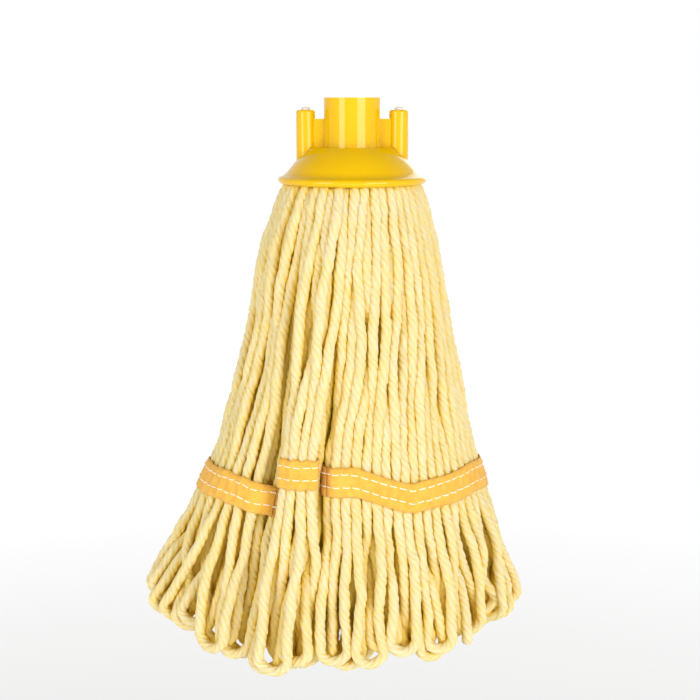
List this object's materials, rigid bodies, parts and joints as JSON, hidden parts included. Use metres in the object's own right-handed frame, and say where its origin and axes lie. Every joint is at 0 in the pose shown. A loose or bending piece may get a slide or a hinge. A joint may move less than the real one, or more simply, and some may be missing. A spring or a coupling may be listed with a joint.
{
  "type": "string mop",
  "caption": "Round socket string mop head: moulded handle socket with side posts and domed skirt, looped twisted yarn in taped sections that swing out.",
  "frame": {"origin": "middle of the handle socket's mouth", "axes": "+Z along the socket, out of its mouth; +X to the right through the side posts; -Y to the front"},
  "size_m": [0.2109, 0.126, 0.278],
  "materials": {
    "socket_plastic": "glossy",
    "retainer_plastic": "natural",
    "binding_wire": "galvanised",
    "yarn": "twisted cotton yarn",
    "tape": "woven tape",
    "stitching": "sewing thread"
  },
  "bodies": {
    "socket": {"socket_body": "socket_plastic", "retaining_bar": "retainer_plastic", "binding_wire": "binding_wire", "yarn_neck": "yarn"},
    "right_section": {"outer_yarn_right": "yarn", "inner_yarn_right": "yarn", "outer_tape_right": "tape", "inner_tape_right": "tape", "stitching_right": "stitching"},
    "rear_right_section": {"outer_yarn_rear_right": "yarn", "inner_yarn_rear_right": "yarn", "outer_tape_rear_right": "tape", "inner_tape_rear_right": "tape", "stitching_rear_right": "stitching"},
    "rear_left_section": {"outer_yarn_rear_left": "yarn", "inner_yarn_rear_left": "yarn", "outer_tape_rear_left": "tape", "inner_tape_rear_left": "tape", "stitching_rear_left": "stitching"},
    "left_section": {"outer_yarn_left": "yarn", "inner_yarn_left": "yarn", "outer_tape_left": "tape", "inner_tape_left": "tape", "stitching_left": "stitching"},
    "front_section": {"outer_yarn_front": "yarn", "inner_yarn_front": "yarn", "outer_tape_front": "tape", "inner_tape_front": "tape", "stitching_front": "stitching"}
  },
  "joints": [
    {"name": "right_swing", "type": "hinge", "parent": "socket", "child": "right_section", "pos_m": [0.02054, -0.02583, -0.0445], "axis": [-0.7826, -0.6225, 0], "range_deg": [0, 30]},
    {"name": "rear_right_swing", "type": "hinge", "parent": "socket", "child": "rear_right_section", "pos_m": [0.02229, 0.02433, -0.0445], "axis": [0.7373, -0.6756, 0], "range_deg": [0, 30]},
    {"name": "rear_left_swing", "type": "hinge", "parent": "socket", "child": "rear_left_section", "pos_m": [-0.02229, 0.02433, -0.0445], "axis": [0.7373, 0.6756, 0], "range_deg": [0, 30]},
    {"name": "left_swing", "type": "hinge", "parent": "socket", "child": "left_section", "pos_m": [-0.0307, -0.01209, -0.0445], "axis": [-0.3665, 0.9304, 0], "range_deg": [0, 30]},
    {"name": "front_swing", "type": "hinge", "parent": "socket", "child": "front_section", "pos_m": [-0.0165, -0.02858, -0.0445], "axis": [-0.866, 0.5, 0], "range_deg": [0, 30]}
  ]
}
